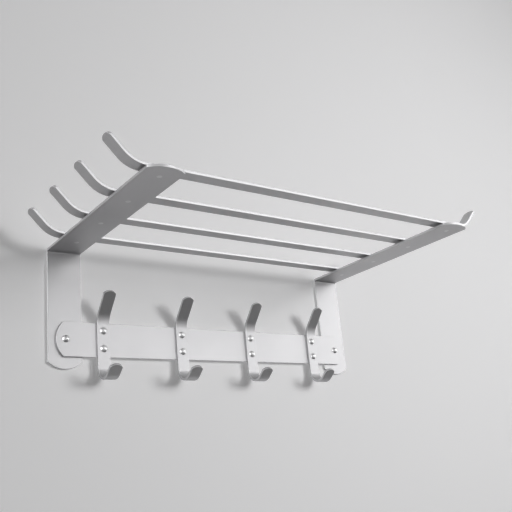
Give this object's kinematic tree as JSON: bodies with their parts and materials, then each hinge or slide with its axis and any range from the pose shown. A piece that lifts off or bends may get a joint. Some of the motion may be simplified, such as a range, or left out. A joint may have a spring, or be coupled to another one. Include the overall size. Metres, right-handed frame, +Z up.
{
  "type": "wall shelf with hook rail",
  "caption": "Wall towel shelf of bent flat aluminium bar: upturned shelf bars on two L-shaped brackets, with a rail of riveted double hooks below.",
  "frame": {"origin": "on the wall's face, midway between the two wall pins, at the height of the middle of the rail", "axes": "+X along the rail, to the right of someone facing the wall; +Y into the wall, along the pins; +Z up"},
  "size_m": [0.5098, 0.292, 0.1842],
  "materials": {
    "bar": "satin anodised, fine even grain",
    "rivet": "bright polished",
    "wall_pin": "bright polished head, plain shank"
  },
  "bodies": {
    "root": {"left_bracket": "bar", "right_bracket": "bar", "shelf_bar_1": "bar", "shelf_bar_2": "bar", "shelf_bar_3": "bar", "shelf_bar_4": "bar", "hook_rail": "bar", "hook_1": "bar", "hook_2": "bar", "hook_3": "bar", "hook_4": "bar", "hook_rivets": "rivet", "wall_pins": "wall_pin"}
  },
  "joints": []
}
